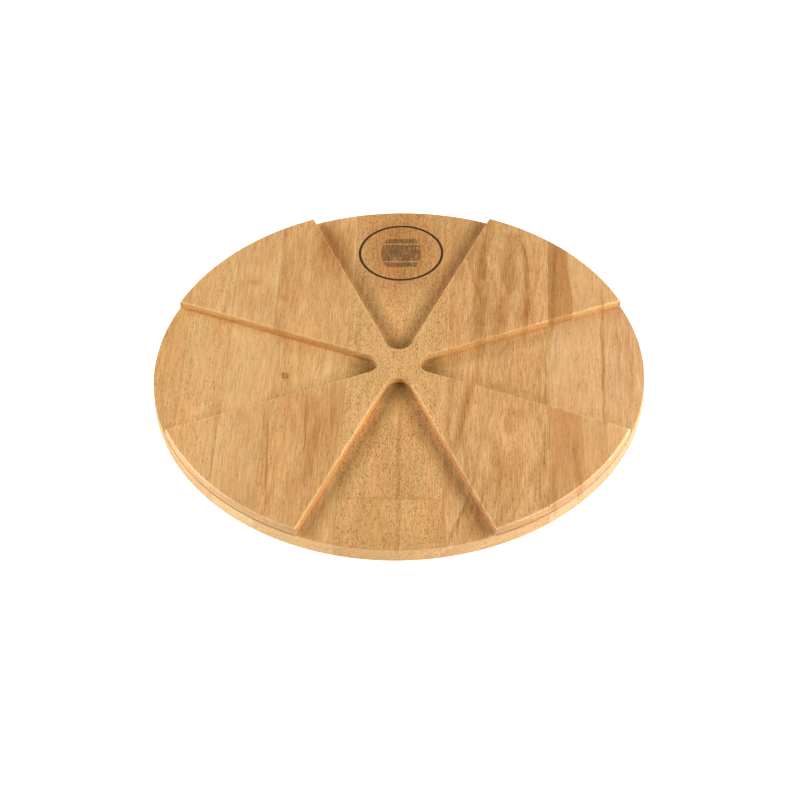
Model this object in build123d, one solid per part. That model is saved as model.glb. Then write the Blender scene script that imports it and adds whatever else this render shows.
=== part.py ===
from build123d import *
import os
from math import cos, radians, sin, tan

# Round wooden sound plate for a tall hand drum: one edge-glued panel of hardwood staves, with four
# wedge-shaped recesses cut into its top that run out through the rim. Origin at the centre of the
# underside, +Z up, +Y towards the rear, millimetres.

# Board
PLATE_RADIUS = 200.0
PLATE_THICKNESS = 19.5

# Small edges of the rim, eased by sanding into a few narrow flats round a quarter turn
EASED_RADIUS = 0.8
EASED_FLATS = 3

# Recesses, and the raised wedges between them
RECESS_COUNT = 4
RECESS_ANGLE = 45.0
RECESS_DEPTH = 7.0
RECESS_TIP_RADIUS = 10.8
WALL_FOOT_COVE = 0.8
WALL_TOP_ROUND = 1.0

# Rim: a low band all round. The raised wedges above it are set back by less than its upper edge is
# eased, so that a fine groove runs between the two.
RIM_LEDGE = 0.4
WEDGE_RIM_ROUND = 2.0

# Staves from left to right, with the glued seams between them measured across the middle of the board
GRAIN_ANGLE = 1.5
SEAMS = [-177.0, -141.0, -105.0, -42.0, 40.0, 122.0, 168.0]
STAVE_NAMES = [
    "stave_1_left_edge",
    "stave_2_left",
    "stave_3_left",
    "stave_4_left_middle",
    "stave_5_centre",
    "stave_6_right_middle",
    "stave_7_right",
    "stave_8_right_edge",
]

# End-to-end finger joint in the centre stave, whose fingers lie one above the other in the thickness
JOINTED_STAVE = "stave_5_centre"
JOINT_LINE_Y = -146.0
FINGER_LENGTH = 9.0
FINGER_COUNT = 5
FINGERS_BELOW_FLOOR = 3
FINGER_TIP = 0.7

# How far cutting shapes reach past the board
OVERRUN = 20.0

FLOOR_Z = PLATE_THICKNESS - RECESS_DEPTH
WEDGE_RADIUS = PLATE_RADIUS - RIM_LEDGE
REACH = PLATE_RADIUS + OVERRUN


def eased_corner(z, start_angle):
    """Profile points of an eased rim corner whose quarter turn is centred at height z."""
    centre_radius = PLATE_RADIUS - EASED_RADIUS
    angles = [radians(start_angle + 90 * step / EASED_FLATS) for step in range(EASED_FLATS + 1)]
    return [(centre_radius + EASED_RADIUS * cos(a), z + EASED_RADIUS * sin(a)) for a in angles]


def turned_board():
    """The full disc with its finished rim, before the recesses are cut."""
    flat_top = (WEDGE_RADIUS - WEDGE_RIM_ROUND, PLATE_THICKNESS)
    lower_corner = eased_corner(EASED_RADIUS, -90)
    upper_corner = eased_corner(FLOOR_Z - EASED_RADIUS, 0)
    wedge_side = [(WEDGE_RADIUS, FLOOR_Z), (WEDGE_RADIUS, PLATE_THICKNESS - WEDGE_RIM_ROUND)]
    with BuildPart() as board:
        with BuildSketch(Plane.XZ):
            with BuildLine():
                rim = Polyline((0, 0), *lower_corner, *upper_corner, *wedge_side)
                RadiusArc(rim @ 1, flat_top, -WEDGE_RIM_ROUND)
                Polyline(flat_top, (0, PLATE_THICKNESS), (0, 0))
            make_face()
        revolve(axis=Axis.Z)
    return board.part


def recess_cutter():
    """What is cut away for one recess along +X: a wedge with a rounded tip, rounded along its lower
    edge, and flared into a slab above the board so that it also rounds the top of the walls."""
    half_width = REACH * tan(radians(RECESS_ANGLE / 2))
    with BuildPart() as cutter:
        with BuildSketch(Plane.XY.offset(FLOOR_Z)) as outline:
            Polygon((0, 0), (REACH, -half_width), (REACH, half_width), align=None)
            fillet(outline.vertices().sort_by(Axis.X)[0], RECESS_TIP_RADIUS)
        extrude(amount=RECESS_DEPTH)
        fillet(cutter.faces().sort_by(Axis.Z)[0].edges(), WALL_FOOT_COVE)
        with BuildSketch(Plane.XY.offset(PLATE_THICKNESS)):
            Rectangle(2 * REACH + OVERRUN, 2 * REACH)
        extrude(amount=OVERRUN)
        slab_underside = cutter.faces().filter_by_position(Axis.Z, PLATE_THICKNESS, PLATE_THICKNESS)[0]
        fillet(slab_underside.inner_wires()[0].edges(), WALL_TOP_ROUND)
    return cutter.part


def recessed_board():
    """The whole board with its recesses evenly spaced round the centre."""
    board = turned_board()
    cutter = recess_cutter()
    for index in range(RECESS_COUNT):
        board -= cutter.rotate(Axis.Z, index * 360.0 / RECESS_COUNT)
    return board


def stave_space(left, right):
    """The slot between two seams, running front to back along the grain."""
    slot = Box(right - left, 2 * REACH, PLATE_THICKNESS, align=(Align.MIN, Align.CENTER, Align.MIN))
    return slot.moved(Location((left, 0, 0))).rotate(Axis.Z, -GRAIN_ANGLE)


def space_ahead_of_joint():
    """Everything in front of the finger joint, whose zigzag runs up through the thickness."""
    half_pitch = FLOOR_Z / (2 * FINGERS_BELOW_FLOOR)
    zigzag = []
    for index in range(2 * FINGER_COUNT + 1):
        y = JOINT_LINE_Y + FINGER_LENGTH * (index % 2)
        z = index * half_pitch
        zigzag += [(y, z - FINGER_TIP / 2), (y, z + FINGER_TIP / 2)]
    outline = zigzag + [(-REACH, zigzag[-1][1]), (-REACH, zigzag[0][1])]
    with BuildPart() as space:
        with BuildSketch(Plane.YZ):
            Polygon(*outline, align=None)
        extrude(amount=REACH, both=True)
    return space.part.rotate(Axis.Z, -GRAIN_ANGLE)


def staves():
    """Each piece of wood by name."""
    board = recessed_board()
    bounds = [-REACH] + SEAMS + [REACH]
    pieces = {}
    for name, left, right in zip(STAVE_NAMES, bounds[:-1], bounds[1:]):
        pieces[name] = board & stave_space(left, right)
    ahead = space_ahead_of_joint()
    long_stave = pieces[JOINTED_STAVE]
    pieces[JOINTED_STAVE + "_front"] = long_stave & ahead
    pieces[JOINTED_STAVE] = long_stave - ahead
    return pieces


os.makedirs("parts", exist_ok=True)
for name, piece in staves().items():
    export_step(piece, f"parts/{name}.step")
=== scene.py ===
from math import cos, radians, sin

import bpy
from mathutils import Matrix, Vector

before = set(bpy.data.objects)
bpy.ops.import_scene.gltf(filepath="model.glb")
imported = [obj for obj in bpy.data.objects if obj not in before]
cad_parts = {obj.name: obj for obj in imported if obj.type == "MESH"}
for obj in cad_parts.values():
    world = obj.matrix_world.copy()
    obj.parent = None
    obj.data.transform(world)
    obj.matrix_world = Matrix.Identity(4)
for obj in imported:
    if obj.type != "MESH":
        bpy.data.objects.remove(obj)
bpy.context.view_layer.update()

MM = 0.001

# Camera: where it looks, in metres, and from what direction, in degrees, both in the plate's own frame. The
# lens and the sensor are in millimetres.
AIM = Vector((0.0015, -0.0361, 0.0125))
CAMERA_ELEVATION = 43.9
CAMERA_TURN = 1.595
CAMERA_ROLL = 1.2
CAMERA_DISTANCE = 1.99
LENS = 111.2
SENSOR = 36.0

# Softboxes: azimuth and elevation in degrees, distance, width and height in metres, and power in watts
SOFTBOXES = {
    "key_right": (-8, 31, 1.5, 1.5, 0.55, 25.3),
    "fill_left": (174, 29, 1.5, 1.0, 0.6, 19.8),
}
WORLD_STRENGTH = 0.17

# The floor. It is drawn a little below the plate, so that the two surfaces are never in exactly the same
# place.
FLOOR_GAP = 0.1 * MM
FLOOR_RADIUS = 30.0
FLOOR_WHITE = (0.93, 0.93, 0.93, 1)
FLOOR_ROUGHNESS = 0.9
FLOOR_GLOW = 0.85

# The plate, in millimetres and degrees. The grain runs front to back, a little off the plate's axes. The
# recess walls run straight from STRAIGHT_WALLS_FROM outwards, and WEDGE_RIM_INSIDE lies just inside the
# wedges' rounded rim edge.
GRAIN_TURN = 1.5
PLATE_TOP = 19.5
RECESS_HALF_ANGLE = 22.5
RECESS_FLOOR = 12.5
STRAIGHT_WALLS_FROM = 26.0
WEDGE_RIM_INSIDE = 196.5
END_JOINT = -146.0
END_JOINTED_STAVES = ("stave_5_centre", "stave_5_centre_front")
GLUE_HALF_WIDTH = 0.3

# Each stave takes its noise this many millimetres further off than the last, so that no two share a pattern
NOISE_SHIFT = (37.0, 191.0, 23.0)

# The burned mark on the rear recess floor: a ring with a barrel drum in it
MARKED_STAVE = "stave_5_centre"
MARK_CENTRE = (0.0, 146.0)
MARK_RING_RADIUS = 35.2
MARK_LINE = 1.9
DRUM_HALF_HEIGHT = 18.5
DRUM_BELLY = 17.0
DRUM_END = 12.5
DRUM_HOOP = 11.5
HOOP_GAP = 1.8

# Every tone below multiplies the wood's own colour, in linear red, green and blue.
# Figure: pale and dark growth bands, cooler and warmer areas, pale and dark threads, and dark fibres
PALE_BANDS = (1.08, 1.11, 1.15)
DARK_BANDS = (0.88, 0.82, 0.74)
COOL_AREAS = (0.97, 1.0, 0.97)
WARM_AREAS = (1.03, 0.985, 0.93)
PALE_THREADS = (1.08, 1.10, 1.13)
DARK_THREADS = (0.87, 0.82, 0.74)
FIBRES = (0.86, 0.80, 0.70)

# Streaks and dark patches, some of them painted shade on the rear recess floor, heartwood, the knot, glue,
# open pores and what is burned
STREAK_AND_SHADE = (0.68, 0.53, 0.36)
HEARTWOOD = (0.745, 0.62, 0.455)
KNOT_MIDDLE = (0.8, 0.62, 0.3)
KNOT_RING = (0.45, 0.32, 0.1)
GLUE = (0.50, 0.38, 0.26)
PORE = (0.30, 0.15, 0.04)
BURN = (0.08, 0.04, 0.035)
SCORCH = (0.36, 0.37, 0.32)

# Recess walls, with painted light, shade and highlight on them, and painted shade on the recess floors at
# the tips and beside the walls
# Painted light: the walls are paler, more so where they face along the grain
WALL_PAINTED_LIGHT = (1.16, 1.16, 1.02)
WALL_END_GRAIN_PAINTED_LIGHT = (1.10, 1.20, 1.26)
WALL_ROUGH_SPOTS = (0.72, 0.58, 0.42)
# Painted shade at the walls' foot, and a painted highlight on their top edge
WALL_FOOT_PAINTED_SHADE = (0.86, 0.73, 0.55)
WALL_TOP_EDGE_HIGHLIGHT = (1.18, 1.28, 1.42)
RECESS_TIP_PAINTED_SHADE = (0.62, 0.62, 0.50)
BESIDE_WALL_PAINTED_SHADE = (0.81, 0.80, 0.71)

# Rim, all painted light and shade: a highlight on the wedges' rounded upper edge, shade on their side,
# reflection and light on the low band, and a shadow line in the groove between the two
# A painted highlight on the wedges' rounded upper edge, and painted shade on their side
WEDGE_RIM_HIGHLIGHT = (1.20, 1.36, 1.60)
WEDGE_SIDE_PAINTED_SHADE = (0.86, 0.83, 0.76)
# Painted reflection of the white floor on the low band, and painted light where it faces along the grain
LOW_BAND_PAINTED_REFLECTION = (0.86, 0.93, 1.02)
LOW_BAND_END_GRAIN_PAINTED_LIGHT = (1.18, 1.20, 1.24)
# A painted shadow line in the groove
GROOVE_PAINTED_SHADE = (0.55, 0.42, 0.28)

# Where the painted shade on the recess floors begins and where it is full: at the tips from the plate's
# middle, and beside the walls from the wall, on the side near it and on the side away from it
TIP_SHADE = (46, 28)
WALL_SHADE_NEAR = (2, 8)
WALL_SHADE_FAR = (21, 11)

# The heartwood's strength at the middle of the plate, and its gain for each mm towards the rear
HEARTWOOD_STRENGTH = 0.71
HEARTWOOD_GAIN = 0.0029

# Lacquer: its roughness, what fibres and bare wood add to it, its coat, and how deep the bump is
SATIN_ROUGHNESS = 0.45
FIBRE_ROUGHNESS = 0.14
BARE_ROUGHNESS = 0.2
COAT_WEIGHT = 0.1
COAT_ROUGHNESS = 0.3
BUMP_DEPTH = 0.06 * MM


def srgb(red, green, blue):
    """A colour given in screen values from 0 to 255, as the linear colour that shaders use."""
    linear = []
    for value in (red, green, blue):
        v = value / 255
        linear.append(v / 12.92 if v <= 0.04045 else ((v + 0.055) / 1.055) ** 2.4)
    return (*linear, 1.0)


# Each stave: the glued seams beside it, its middle tone on the raised level and on the recess floors, how
# many pores show, how long they run in mm and how deep they are, how strong its streaks are, how far they
# wander in mm, how strong the painted shade on the recess floors beside the walls is, and where the middle
# of its tree was, across and up, in mm.
STAVES = {
    "stave_1_left_edge": dict(
        seams=(-177,), raised=(220, 172, 114), floor=(222, 172, 111),
        pores=0.8, pore_run=5, pore_depth=0.6,
        streaks=0.6, wander=3, shade=0.0, pith=(-150, -95)),
    "stave_2_left": dict(
        seams=(-177, -141), raised=(230, 181, 121), floor=(225, 177, 118),
        pores=0.8, pore_run=5, pore_depth=0.65,
        streaks=0.55, wander=3, shade=0.0, pith=(-182, -80)),
    "stave_3_left": dict(
        seams=(-141, -105), raised=(224, 177, 120), floor=(226, 182, 125),
        pores=0.4, pore_run=6, pore_depth=0.5,
        streaks=0.6, wander=3, shade=0.0, pith=(-118, -120)),
    "stave_4_left_middle": dict(
        seams=(-105, -42), raised=(220, 168, 108), floor=(225, 179, 119),
        pores=0.5, pore_run=6, pore_depth=0.6,
        streaks=0.8, wander=4, shade=0.5, pith=(-66, -85)),
    "stave_5_centre": dict(
        seams=(-42, 40), raised=(229, 178, 116), floor=(223, 173, 112),
        pores=1, pore_run=3.6, pore_depth=1,
        streaks=0.45, wander=5, shade=1.0, pith=(6, -70)),
    "stave_5_centre_front": dict(
        seams=(-42, 40), raised=(225, 174, 114), floor=(222, 173, 110),
        pores=1, pore_run=3.6, pore_depth=1,
        streaks=0.45, wander=5, shade=0.9, pith=(-10, -75)),
    "stave_6_right_middle": dict(
        seams=(40, 122), raised=(218, 168, 111), floor=(220, 171, 114),
        pores=0.65, pore_run=5.5, pore_depth=0.65,
        streaks=1.0, wander=9, shade=0.8, pith=(88, -60)),
    "stave_7_right": dict(
        seams=(122, 168), raised=(223, 173, 117), floor=(225, 177, 126),
        pores=0.4, pore_run=6, pore_depth=0.55,
        streaks=0.45, wander=4, shade=0.3, pith=(150, -90)),
    "stave_8_right_edge": dict(
        seams=(168,), raised=(223, 175, 120), floor=(225, 177, 126),
        pores=0.45, pore_run=6, pore_depth=0.55,
        streaks=0.6, wander=4, shade=0.3, pith=(175, -75)),
}

# Dark streaks: where the middle of each is, how it slopes and bows along the grain, how wide it is either
# side, how far it reaches each way, and how strong it is
STREAKS = {
    "stave_2_left": [
        ((-144, -90), 0.0, 0.0, 2.5, 50, 0.35),
    ],
    "stave_4_left_middle": [
        ((-101.5, -121), -0.033, 0.0, 1.3, 60, 0.6),
        ((-67, -102), 0.12, 0.0, 5.0, 45, 0.4),
        ((-73, -75), 0.0, 0.0, 1.2, 50, 0.45),
        ((-52, -60), 0.05, 0.0, 3.0, 40, 0.25),
    ],
    "stave_5_centre": [
        ((1, -95), 0.0, 0.0, 1.6, 75, 0.5),
    ],
    "stave_5_centre_front": [
        ((2, -172), 0.02, 0.0, 1.5, 45, 0.45),
    ],
    "stave_6_right_middle": [
        ((67, 95), 0.05, 0.0007, 6.0, 110, 0.6),
        ((89, 95), 0.1, 0.0, 8.0, 85, 0.55),
        ((107, 98), 0.0, -0.0012, 2.8, 75, 0.75),
        ((53, -62), 0.18, -0.0008, 4.0, 50, 0.6),
        ((80, -130), 0.1, 0.0, 1.6, 40, 0.5),
        ((116, -97), 0.03, 0.0, 1.5, 30, 0.6),
        ((112, -140), 0.03, 0.0, 1.2, 22, 0.5),
        ((119, -20), 0.0262, 0.0, 1.2, 40, 0.6),
        ((50, -163), 0.34, 0.0, 2.2, 45, 0.55),
        ((62, -165), 0.3, 0.0, 1.5, 32, 0.4),
    ],
    "stave_7_right": [
        ((129, 95), 0.06, 0.0, 2.0, 75, 0.5),
        ((141, -120), -0.05, 0.0, 3.5, 40, 0.45),
        ((122, -142), 0.0, 0.0, 3.0, 28, 0.45),
        ((166.6, 5), 0.0262, 0.0, 1.6, 95, 0.75),
    ],
    "stave_8_right_edge": [
        ((180, 15), 0.0, 0.0, 1.6, 50, 0.4),
        ((189, 0), 0.0, -0.0006, 2.0, 60, 0.35),
    ],
}

# Soft darker patches: place, half-width, half-length and strength. The large ones on the rear recess
# floor are painted shade.
PATCHES_AND_RECESS_SHADE = {
    "stave_3_left": [((-122, 100), 9, 7, 0.35)],
    "stave_4_left_middle": [
        ((-98, 80), 7, 6, 0.35),
        ((-98, 38), 9, 13, 0.35),
        ((-88, -17), 4, 8, 0.35),
        # Painted shade on the rear recess floor
        ((-56, 152), 22, 60, 0.75),
    ],
    # Painted shade on the rear recess floor
    "stave_5_centre": [((2, 148), 48, 84, 0.8)],
    "stave_6_right_middle": [
        ((93, -58), 11, 9, 0.4),
        ((89, -75), 7, 15, 0.35),
        ((68, -86), 8, 13, 0.35),
        ((77, -116), 6, 12, 0.3),
        ((102, 52), 8, 9, 0.35),
        # Painted shade on the rear recess floor
        ((58, 162), 18, 55, 0.3),
    ],
}

# The middle of each knot, and where the heartwood ends across the grain and how far that leans along it
KNOTS = {"stave_4_left_middle": (-92.5, -7.5)}
HEARTWOOD_EDGES = {"stave_7_right": (145.0, -0.045)}


class Tree:
    """A material's node tree. Where a method takes a value, it may be a socket to link or a plain value."""

    def __init__(self, name):
        self.material = bpy.data.materials.new(name)
        self.material.use_nodes = True
        self.nodes = self.material.node_tree.nodes
        self.links = self.material.node_tree.links
        self.nodes.clear()

    def add(self, kind, inputs, **settings):
        """A new node with its inputs linked or set."""
        node = self.nodes.new("ShaderNode" + kind)
        for key, value in settings.items():
            setattr(node, key, value)
        for key, value in inputs.items():
            if isinstance(value, bpy.types.NodeSocket):
                self.links.new(value, node.inputs[key])
            else:
                node.inputs[key].default_value = value
        return node

    def math(self, operation, a, b=0.0):
        return self.add("Math", {0: a, 1: b}, operation=operation).outputs[0]

    def plus(self, a, b):
        return self.math("ADD", a, b)

    def minus(self, a, b):
        return self.math("SUBTRACT", a, b)

    def times(self, a, b):
        return self.math("MULTIPLY", a, b)

    def size(self, value):
        return self.math("ABSOLUTE", value)

    def most(self, a, b):
        return self.math("MAXIMUM", a, b)

    def length(self, x, y):
        return self.math("SQRT", self.plus(self.times(x, x), self.times(y, y)))

    def step(self, value, low, high):
        """0 up to low and 1 from high on, smooth in between. With low above high it runs the other way."""
        ends = {"From Min": min(low, high), "From Max": max(low, high)}
        sides = {"To Min": float(low > high), "To Max": float(low < high)}
        node = self.add("MapRange", {"Value": value, **ends, **sides}, interpolation_type="SMOOTHSTEP")
        return node.outputs["Result"]

    def band(self, value, centre, half_width, fade):
        """1 within half_width of centre, and 0 from fade further out."""
        return self.step(self.size(self.minus(value, centre)), half_width + fade, half_width)

    def combine(self, x, y, z):
        return self.add("CombineXYZ", {"X": x, "Y": y, "Z": z}).outputs[0]

    def split(self, vector):
        return self.add("SeparateXYZ", {"Vector": vector}).outputs

    def scaled(self, vector, sizes):
        """The vector divided by a size for each axis."""
        scale = tuple(1 / size for size in sizes)
        return self.add("VectorMath", {0: vector, 1: scale}, operation="MULTIPLY").outputs[0]

    def moved(self, vector, offset):
        return self.add("VectorMath", {0: vector, 1: offset}, operation="ADD").outputs[0]

    def noise(self, vector, sizes, detail=2.0, roughness=0.5):
        """Soft noise around 0.5, in patches of about the given sizes."""
        place = self.scaled(vector, sizes)
        inputs = {"Vector": place, "Scale": 1.0, "Detail": detail, "Roughness": roughness}
        return self.add("TexNoise", inputs, noise_dimensions="3D").outputs["Fac"]

    def mix(self, factor, a, b, blend="MIX"):
        node = self.add("Mix", {0: factor, 6: a, 7: b}, data_type="RGBA", blend_type=blend)
        return node.outputs[2]

    def tint(self, colour, mask, tone, strength=1.0):
        """The colour multiplied by tone where mask is 1, by as much as strength says."""
        return self.mix(self.times(mask, strength), colour, (*tone, 1.0), "MULTIPLY")

    def varied(self, colour, mask, low_tone, high_tone, strength=1.0):
        """The colour multiplied by low_tone where mask is 0 and by high_tone where it is 1."""
        return self.mix(strength, colour, self.mix(mask, (*low_tone, 1.0), (*high_tone, 1.0)), "MULTIPLY")


def plate_place(tree):
    """Places in millimetres in the plate's own frame."""
    place = tree.add("TexCoord", {}).outputs["Object"]
    return tree.scaled(place, (MM, MM, MM))


def grain_place(tree, place):
    """Places in millimetres across, along and up through the grain."""
    turn = {"Vector": place, "Rotation": (0, 0, radians(GRAIN_TURN))}
    return tree.add("Mapping", turn, vector_type="POINT").outputs[0]


def past_wall(tree, x, y):
    """How far a place is past the nearest recess wall's line: above 0 on a wedge, below 0 in a recess."""
    x, y = tree.size(x), tree.size(y)
    half = radians(RECESS_HALF_ANGLE)
    outward = tree.most(x, y)
    aside = tree.math("MINIMUM", x, y)
    return tree.minus(tree.times(aside, cos(half)), tree.times(outward, sin(half)))


class Place:
    """Where a point of one stave lies, in millimetres, and which part it is on, as numbers from 0 to 1."""

    def __init__(self, tree, seed):
        self.plate = plate_place(tree)
        self.grain = grain_place(tree, self.plate)
        self.shifted = tree.moved(self.grain, tuple(seed * shift for shift in NOISE_SHIFT))
        self.x, self.y, self.up = tree.split(self.plate)
        self.across, self.along, _ = tree.split(self.grain)
        self.from_middle = tree.length(self.x, self.y)
        self.past_wall = past_wall(tree, self.x, self.y)
        self.find_levels(tree)
        self.find_faces(tree)

    def find_levels(self, tree):
        """The raised level, the recess floors, and what is inside or outside the wedges' rim."""
        self.raised = tree.step(self.up, RECESS_FLOOR + 1, RECESS_FLOOR + 3)
        near_floor = tree.step(self.up, RECESS_FLOOR - 1, RECESS_FLOOR - 0.5)
        self.recess_floor = tree.times(near_floor, tree.minus(1.0, self.raised))
        self.inside_rim = tree.step(self.from_middle, WEDGE_RIM_INSIDE + 1, WEDGE_RIM_INSIDE)
        self.at_rim = tree.minus(1.0, self.inside_rim)

    def find_faces(self, tree):
        """Upright faces, cut ends of the grain, recess walls, and the rim's side and its low band."""
        normal = tree.add("NewGeometry", {}).outputs["Normal"]
        self.facing_up = tree.split(normal)[2]
        self.upright = tree.step(tree.size(self.facing_up), 0.55, 0.3)
        grain_way = (sin(radians(GRAIN_TURN)), cos(radians(GRAIN_TURN)), 0)
        facing_grain = tree.add("VectorMath", {0: normal, 1: grain_way}, operation="DOT_PRODUCT")
        self.end_grain = tree.step(tree.size(facing_grain.outputs["Value"]), 0.5, 0.95)
        above_floor = tree.step(self.up, RECESS_FLOOR + 0.2, RECESS_FLOOR + 0.6)
        self.wall = tree.times(tree.times(self.upright, self.inside_rim), above_floor)
        self.side = tree.times(self.upright, self.at_rim)
        self.low_band = tree.times(self.side, tree.step(self.up, RECESS_FLOOR + 0.2, RECESS_FLOOR - 0.2))


def growth(tree, at, stave):
    """Distance from the middle of the tree with a slow wander, so that growth bands agree on every face."""
    wander = tree.minus(tree.noise(at.shifted, (36, 150, 36), detail=2), 0.5)
    pith_across, pith_up = stave["pith"]
    radius = tree.length(tree.minus(at.across, pith_across), tree.minus(at.up, pith_up))
    return tree.plus(radius, tree.times(wander, 2.5 * stave["wander"]))


def bands_and_lines(tree, radius, along, seed):
    """Growth bands, lines and fine lines that run long with the grain, as a number around 0.5."""
    bands = tree.noise(tree.combine(radius, along, seed), (7, 300, 1), detail=2)
    lines = tree.noise(tree.combine(radius, along, seed + 40), (2.2, 150, 1), detail=2, roughness=0.6)
    fine = tree.noise(tree.combine(radius, along, seed + 80), (1.0, 45, 1), detail=1)
    return tree.plus(tree.times(bands, 0.4), tree.plus(tree.times(lines, 0.35), tree.times(fine, 0.25)))


def figure(tree, at, colour, fibres, stave, seed):
    """The wood's own figure: growth bands, slowly warmer and cooler areas, fibres and threads."""
    spread = 0.1 / stave["streaks"]
    bands = bands_and_lines(tree, growth(tree, at, stave), at.along, 5.0 * seed)
    dark = tree.step(bands, 0.5 - spread, 0.5 + spread)
    colour = tree.varied(colour, dark, PALE_BANDS, DARK_BANDS)
    warm = tree.step(tree.noise(at.shifted, (18, 120, 18), detail=2), 0.32, 0.68)
    colour = tree.varied(colour, warm, COOL_AREAS, WARM_AREAS)
    colour = tree.tint(colour, tree.step(fibres, 0.45, 0.75), FIBRES, 0.5)
    threads = tree.step(tree.noise(at.shifted, (0.7, 20, 0.7), detail=1), 0.4, 0.6)
    return tree.varied(colour, threads, PALE_THREADS, DARK_THREADS, 0.4 + 0.6 * stave["streaks"])


def vessels(tree, grain, spacing, run, size, share):
    """Vessels cut open along the grain: short dark dashes, which are dots on end grain."""
    cells = tree.add("TexVoronoi", {"Vector": tree.scaled(grain, (spacing, run, spacing)), "Scale": 1.0})
    dash = tree.step(cells.outputs["Distance"], 1.35 * size, 0.3 * size)
    chance, depth, _ = tree.split(cells.outputs["Color"])
    present = tree.step(tree.minus(share, chance), -0.04, 0.04)
    return tree.times(tree.times(dash, present), tree.plus(0.5, tree.times(depth, 0.5)))


def open_pores(tree, at, stave):
    """Coarse and small vessels together, crowded in some places and few in others."""
    crowd = tree.step(tree.noise(at.shifted, (12, 60, 12), detail=2), 0.25, 0.7)
    share = tree.times(tree.plus(0.3, crowd), stave["pores"])
    coarse = vessels(tree, at.shifted, 1.15, 1.3 * stave["pore_run"], 0.31, share)
    small = vessels(tree, at.shifted, 0.75, 0.9 * stave["pore_run"], 0.38, share)
    return tree.times(tree.most(coarse, tree.times(small, 0.8)), stave["pore_depth"])


def streak(tree, x, y, line):
    """A streak that bends: 1 along its middle, 0 outside."""
    (middle_x, middle_y), slope, bow, half_width, reach, strength = line
    run = tree.minus(y, middle_y)
    bend = tree.plus(tree.times(run, slope), tree.times(tree.times(run, run), bow))
    beside = tree.size(tree.minus(tree.minus(x, middle_x), bend))
    across = tree.step(beside, 1.3 * half_width, 0.2 * half_width)
    return tree.times(tree.times(across, tree.band(y, middle_y, 0.5 * reach, 0.5 * reach)), strength)


def patch(tree, x, y, oval):
    """A soft oval patch."""
    (middle_x, middle_y), half_width, half_length, strength = oval
    away_x = tree.times(tree.minus(x, middle_x), 1 / half_width)
    away_y = tree.times(tree.minus(y, middle_y), 1 / half_length)
    return tree.times(tree.step(tree.length(away_x, away_y), 1.0, 0.2), strength)


def dark_marks_and_shade(tree, at, name):
    """All of a stave's own streaks and patches together, with the painted shade on the rear recess floor,
    their edges broken up along the grain. They fade out below the recess floors, so that the underside is
    free of them."""
    waver = tree.minus(tree.noise(at.shifted, (3.5, 30, 3.5), detail=3), 0.5)
    x = tree.plus(at.x, tree.times(waver, 6.0))
    marks_and_shade = 0.0
    for line in STREAKS.get(name, []):
        marks_and_shade = tree.most(marks_and_shade, streak(tree, x, at.y, line))
    for oval in PATCHES_AND_RECESS_SHADE.get(name, []):
        marks_and_shade = tree.most(marks_and_shade, patch(tree, x, at.y, oval))
    threads = tree.step(tree.noise(at.shifted, (1.1, 18, 1.1), detail=2), 0.3, 0.6)
    marks_and_shade = tree.times(marks_and_shade, tree.plus(0.55, tree.times(threads, 0.75)))
    return tree.times(marks_and_shade, tree.step(at.up, 0.2 * RECESS_FLOOR, 0.7 * RECESS_FLOOR))


def heartwood(tree, at, edge):
    """A darker band from the stave's left side to an edge that leans along the grain, on the wedges only."""
    edge_across, lean = edge
    waver = tree.times(tree.minus(tree.noise(at.shifted, (4, 60, 4), detail=2), 0.5), 5.0)
    past = tree.plus(tree.minus(tree.minus(at.across, edge_across), tree.times(at.along, lean)), waver)
    on_wedge = tree.step(at.up, RECESS_FLOOR + 0.1, RECESS_FLOOR + 1.2)
    return tree.times(tree.step(past, 1.5, -1.5), on_wedge)


def knot(tree, at, colour, centre):
    """A pin knot: a dark ring round a yellowish middle."""
    wobble = tree.times(tree.minus(tree.noise(at.plate, (2, 3, 2), detail=3), 0.5), 5.0)
    away = tree.length(tree.minus(at.x, centre[0]), tree.times(tree.minus(at.y, centre[1]), 0.7))
    away = tree.plus(away, wobble)
    colour = tree.tint(colour, tree.step(away, 6.5, 2.0), KNOT_MIDDLE, 0.35)
    return tree.tint(colour, tree.band(away, 1.8, 0.6, 0.9), KNOT_RING, 0.7)


def own_marks(tree, at, colour, name):
    """What only some staves have: heartwood, dark marks with painted shade on the rear recess floor, and a
    knot.
    """
    if name in HEARTWOOD_EDGES:
        strength = tree.plus(HEARTWOOD_STRENGTH, tree.times(at.along, HEARTWOOD_GAIN))
        colour = tree.tint(colour, heartwood(tree, at, HEARTWOOD_EDGES[name]), HEARTWOOD, strength)
    if name in STREAKS or name in PATCHES_AND_RECESS_SHADE:
        colour = tree.tint(colour, dark_marks_and_shade(tree, at, name), STREAK_AND_SHADE)
    if name in KNOTS:
        colour = knot(tree, at, colour, KNOTS[name])
    return colour


def glue_lines(tree, at, name, stave):
    """The thin dark lines where a stave is glued to the staves beside it and, end to end, to its front
    piece."""
    lines = 0.0
    for seam in stave["seams"]:
        lines = tree.most(lines, tree.band(at.across, seam, GLUE_HALF_WIDTH, 0.25))
    if name in END_JOINTED_STAVES:
        lines = tree.most(lines, tree.band(at.along, END_JOINT, 0.6, 1.2))
    return lines


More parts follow.
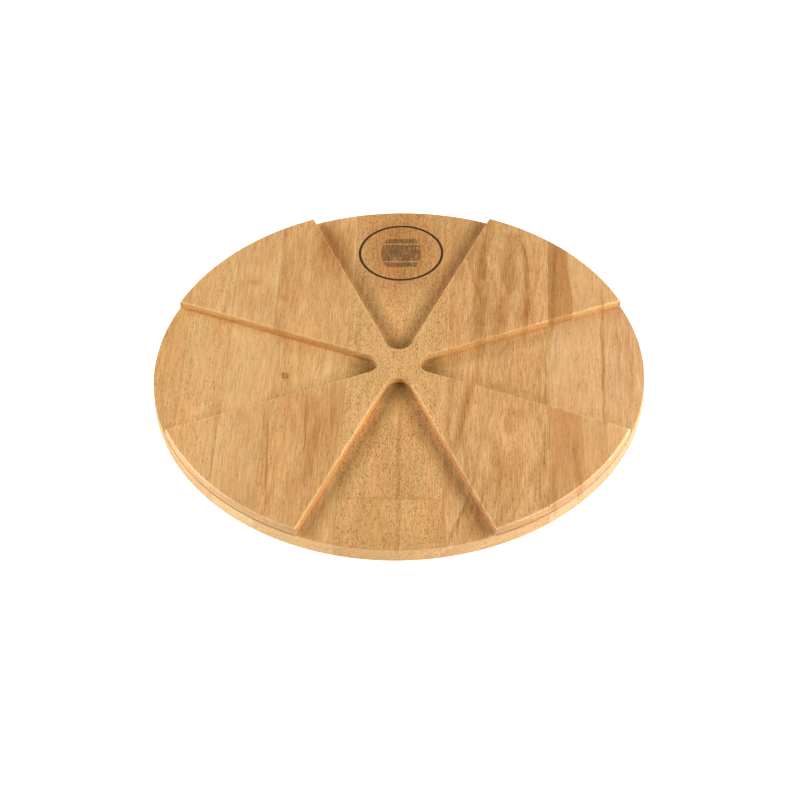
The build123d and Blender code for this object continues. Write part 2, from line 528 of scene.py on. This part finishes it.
def cut_walls(tree, at, colour, rough_cut):
    """The recess walls, rougher than the rest, made paler with painted light, with painted shade at the foot
    and a painted highlight on the top edge, which is strongest where the wall runs more along the grain
    than across it."""
    # Painted light: the walls made paler
    colour = tree.tint(colour, tree.times(at.wall, at.end_grain), WALL_END_GRAIN_PAINTED_LIGHT)
    colour = tree.tint(colour, at.wall, WALL_PAINTED_LIGHT)
    rough_spots = tree.times(at.wall, tree.step(rough_cut, 0.45, 0.7))
    colour = tree.tint(colour, rough_spots, WALL_ROUGH_SPOTS, 0.7)
    # Painted shade at the foot of the walls
    painted_foot_shade = tree.most(at.upright, tree.band(at.past_wall, -0.2, 0.6, 0.6))
    painted_foot_shade = tree.times(tree.times(painted_foot_shade, at.inside_rim), tree.band(at.up, RECESS_FLOOR + 0.3, 0.9, 1.3))
    colour = tree.tint(colour, painted_foot_shade, WALL_FOOT_PAINTED_SHADE)
    # A painted highlight along the walls' top edge
    edge = tree.times(tree.band(at.past_wall, 0.5, 0.6, 0.5), tree.step(at.up, PLATE_TOP - 2, PLATE_TOP - 1))
    edge = tree.times(edge, tree.step(at.from_middle, STRAIGHT_WALLS_FROM, STRAIGHT_WALLS_FROM + 4))
    lengthwise = tree.step(tree.minus(tree.size(at.y), tree.size(at.x)), -2.0, 2.0)
    edge = tree.times(edge, tree.plus(0.7, tree.times(lengthwise, 0.3)))
    return tree.tint(colour, edge, WALL_TOP_EDGE_HIGHLIGHT)


def turned_rim(tree, at, colour):
    """The rim, all painted light and shade: a painted highlight on the wedges' rounded edge, painted shade
    on their side and in the groove, and painted reflection and light on the low band.
    """
    # Painted highlight on the rounded edge, painted reflection and light on the low band, painted shade on
    # the side
    rim_highlight = tree.times(tree.band(at.facing_up, 0.6, 0.2, 0.15), at.at_rim)
    colour = tree.tint(colour, tree.times(rim_highlight, at.raised), WEDGE_RIM_HIGHLIGHT)
    colour = tree.tint(colour, at.low_band, LOW_BAND_PAINTED_REFLECTION)
    colour = tree.tint(colour, tree.times(at.low_band, at.end_grain), LOW_BAND_END_GRAIN_PAINTED_LIGHT)
    colour = tree.tint(colour, tree.minus(at.side, at.low_band), WEDGE_SIDE_PAINTED_SHADE)
    # A painted shadow line in the groove under the wedges
    under_wedge = tree.times(tree.step(at.past_wall, 0.0, 1.0), at.at_rim)
    groove_shade = tree.times(tree.band(at.up, RECESS_FLOOR - 0.6, 0.3, 0.4), under_wedge)
    return tree.tint(colour, groove_shade, GROOVE_PAINTED_SHADE, 0.8)


def with_painted_floor_shade(tree, at, colour, strength):
    """Painted shade on the recess floors: browner at their tips and, with the given strength, beside the
    walls.
    """
    painted_tip_shade = tree.times(at.recess_floor, tree.step(at.from_middle, *TIP_SHADE))
    colour = tree.tint(colour, painted_tip_shade, RECESS_TIP_PAINTED_SHADE)
    from_wall = tree.times(at.past_wall, -1.0)
    painted_wall_shade = tree.times(tree.step(from_wall, *WALL_SHADE_NEAR), tree.step(from_wall, *WALL_SHADE_FAR))
    return tree.tint(colour, tree.times(painted_wall_shade, at.recess_floor), BESIDE_WALL_PAINTED_SHADE, strength)


def burned_ring(tree, at):
    """The ring of the burned mark."""
    away = tree.length(tree.minus(at.x, MARK_CENTRE[0]), tree.minus(at.y, MARK_CENTRE[1]))
    ring = tree.band(away, MARK_RING_RADIUS, 0.4 * MARK_LINE, 0.4 * MARK_LINE)
    return tree.times(ring, at.recess_floor)


def scorched_drum(tree, at):
    """A barrel drum seen from the side, its hoops left bare and its surface worn along the grain."""
    x = tree.size(tree.minus(at.x, MARK_CENTRE[0]))
    y = tree.size(tree.minus(at.y, MARK_CENTRE[1]))
    taper = (DRUM_BELLY - DRUM_END) / DRUM_HALF_HEIGHT ** 2
    outside = tree.minus(x, tree.minus(DRUM_BELLY, tree.times(tree.times(y, y), taper)))
    short_of_ends = tree.step(y, DRUM_HALF_HEIGHT + 0.3, DRUM_HALF_HEIGHT - 0.3)
    drum = tree.times(tree.step(outside, 0.3, -0.3), short_of_ends)
    off_hoops = tree.step(tree.size(tree.minus(y, DRUM_HOOP)), 0.4 * HOOP_GAP, 0.7 * HOOP_GAP)
    worn = tree.step(tree.noise(at.grain, (1.2, 5, 1.2)), 0.2, 0.5)
    return tree.times(tree.times(tree.times(drum, off_hoops), at.recess_floor), worn)


def lacquer(tree, colour, height, fibres, bare):
    """A thin satin lacquer over the wood, rougher where the wood is bare or open."""
    bump = tree.add("Bump", {"Height": height, "Distance": BUMP_DEPTH, "Strength": 1.0})
    added = tree.plus(tree.times(fibres, FIBRE_ROUGHNESS), tree.times(bare, BARE_ROUGHNESS))
    roughness = tree.plus(SATIN_ROUGHNESS, added)
    surface = {"Base Color": colour, "Roughness": roughness, "Normal": bump.outputs[0]}
    bsdf = tree.add("BsdfPrincipled", surface)
    bsdf.inputs["Coat Weight"].default_value = COAT_WEIGHT
    bsdf.inputs["Coat Roughness"].default_value = COAT_ROUGHNESS
    tree.add("OutputMaterial", {"Surface": bsdf.outputs[0]})


def wood(node, stave, seed):
    """One stave of pale hardwood under a thin satin lacquer."""
    name = node.name
    tree = Tree(name + "_wood")
    at = Place(tree, seed)
    fibres = tree.noise(at.shifted, (0.45, 16, 0.45), detail=2)
    pores = open_pores(tree, at, stave)
    rough_cut = tree.noise(at.grain, (0.9, 0.9, 0.9), detail=3)

    colour = tree.mix(at.raised, srgb(*stave["floor"]), srgb(*stave["raised"]))
    colour = figure(tree, at, colour, fibres, stave, seed)
    colour = own_marks(tree, at, colour, name)
    colour = tree.tint(colour, pores, PORE)
    colour = tree.tint(colour, glue_lines(tree, at, name, stave), GLUE, 0.2)
    colour = cut_walls(tree, at, colour, rough_cut)
    colour = turned_rim(tree, at, colour)
    colour = with_painted_floor_shade(tree, at, colour, stave["shade"])

    height = tree.minus(tree.times(fibres, 0.25), pores)
    height = tree.plus(height, tree.times(tree.times(at.wall, rough_cut), 1.2))
    bare = tree.most(tree.most(at.wall, at.low_band), pores)
    if name == MARKED_STAVE:
        ring = burned_ring(tree, at)
        drum = scorched_drum(tree, at)
        colour = tree.tint(colour, drum, SCORCH, 0.9)
        colour = tree.tint(colour, ring, BURN)
        burned = tree.most(ring, drum)
        height = tree.minus(height, tree.times(burned, 3.0))
        bare = tree.most(bare, burned)
    lacquer(tree, colour, height, fibres, bare)
    node.data.materials.clear()
    node.data.materials.append(tree.material)


def make_camera():
    """A long lens looking down at the plate from in front, turned and rolled slightly."""
    elevation = radians(CAMERA_ELEVATION)
    turn = Matrix.Rotation(radians(CAMERA_TURN), 3, "Z")
    back = turn @ Vector((0.0, -cos(elevation), sin(elevation)))
    right = turn @ Vector((1.0, 0.0, 0.0))
    up = back.cross(right)
    roll = radians(CAMERA_ROLL)
    rolled_right = right * cos(roll) - up * sin(roll)
    rolled_up = right * sin(roll) + up * cos(roll)
    data = bpy.data.cameras.new("camera")
    data.lens = LENS
    data.sensor_width = SENSOR
    camera = bpy.data.objects.new("camera", data)
    bpy.context.scene.collection.objects.link(camera)
    rotation = Matrix((rolled_right, rolled_up, back)).transposed().to_4x4()
    camera.matrix_world = Matrix.Translation(AIM + back * CAMERA_DISTANCE) @ rotation
    bpy.context.scene.camera = camera


def softbox(name, azimuth, elevation, distance, width, height, power):
    """A rectangular studio light that faces the middle of the plate."""
    data = bpy.data.lights.new(name, "AREA")
    data.shape = "RECTANGLE"
    data.size = width
    data.size_y = height
    data.energy = power
    light = bpy.data.objects.new(name, data)
    bpy.context.scene.collection.objects.link(light)
    a, e = radians(azimuth), radians(elevation)
    direction = Vector((cos(a) * cos(e), sin(a) * cos(e), sin(e)))
    light.location = direction * distance
    light.rotation_euler = direction.to_track_quat("Z", "Y").to_euler()


def make_floor():
    """A wide, plain white floor that glows, so that hardly any shadow shows round the plate, and that is
    clear from below, so that the underside can be looked at."""
    place = (0, 0, -FLOOR_GAP)
    bpy.ops.mesh.primitive_circle_add(vertices=96, radius=FLOOR_RADIUS, fill_type="NGON", location=place)
    floor = bpy.context.object
    floor.name = "floor"
    tree = Tree("floor_white")
    bsdf = tree.add("BsdfPrincipled", {"Base Color": FLOOR_WHITE, "Roughness": FLOOR_ROUGHNESS})
    bsdf.inputs["Emission Color"].default_value = (1, 1, 1, 1)
    bsdf.inputs["Emission Strength"].default_value = FLOOR_GLOW
    from_below = tree.add("NewGeometry", {}).outputs["Backfacing"]
    clear = tree.add("BsdfTransparent", {})
    surface = tree.add("MixShader", {0: from_below, 1: bsdf.outputs[0], 2: clear.outputs[0]})
    tree.add("OutputMaterial", {"Surface": surface.outputs[0]})
    floor.data.materials.append(tree.material)


def make_world():
    """A weak, even white light from all round."""
    world = bpy.data.worlds.new("studio")
    world.use_nodes = True
    background = world.node_tree.nodes["Background"]
    background.inputs["Color"].default_value = (1.0, 1.0, 1.0, 1.0)
    background.inputs["Strength"].default_value = WORLD_STRENGTH
    bpy.context.scene.world = world


for seed, (name, stave) in enumerate(STAVES.items(), start=1):
    wood(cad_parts[name], stave, seed)
make_camera()
make_floor()
make_world()
for name, light in SOFTBOXES.items():
    softbox(name, *light)
bpy.context.scene.view_settings.view_transform = "Standard"
